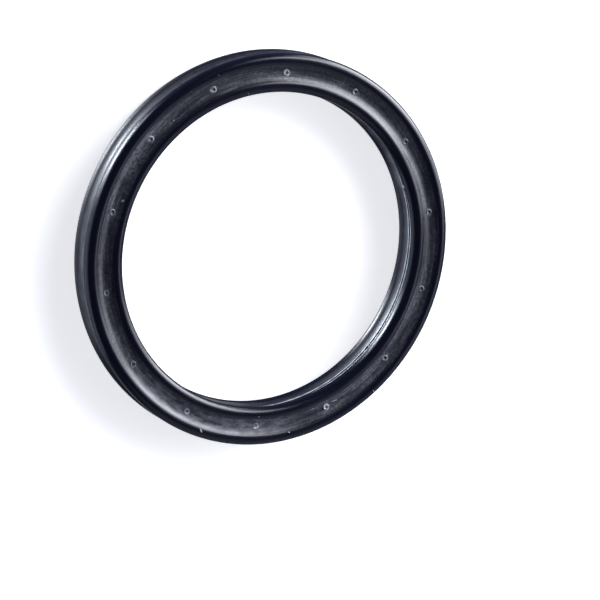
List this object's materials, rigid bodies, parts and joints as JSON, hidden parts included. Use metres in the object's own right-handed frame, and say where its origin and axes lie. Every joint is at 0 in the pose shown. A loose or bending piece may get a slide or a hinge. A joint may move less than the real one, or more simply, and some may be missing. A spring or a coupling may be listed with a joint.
{
  "type": "x-ring",
  "caption": "Moulded rubber sealing ring with an X-shaped section of rounded lobes and shallow valleys, for the groove of a rod, piston or cover; it lies flat.",
  "frame": {"origin": "centre of the ring, in the middle of its height", "axes": "+Z along the ring's axis, out of the face with the round mould marks; +X through one of those marks"},
  "size_m": [0.0544, 0.0544, 0.0054],
  "materials": {
    "rubber": "moulded black rubber, dull in the valleys and glossier on the lobes"
  },
  "bodies": {
    "root": {"x_ring": "rubber"}
  },
  "joints": []
}
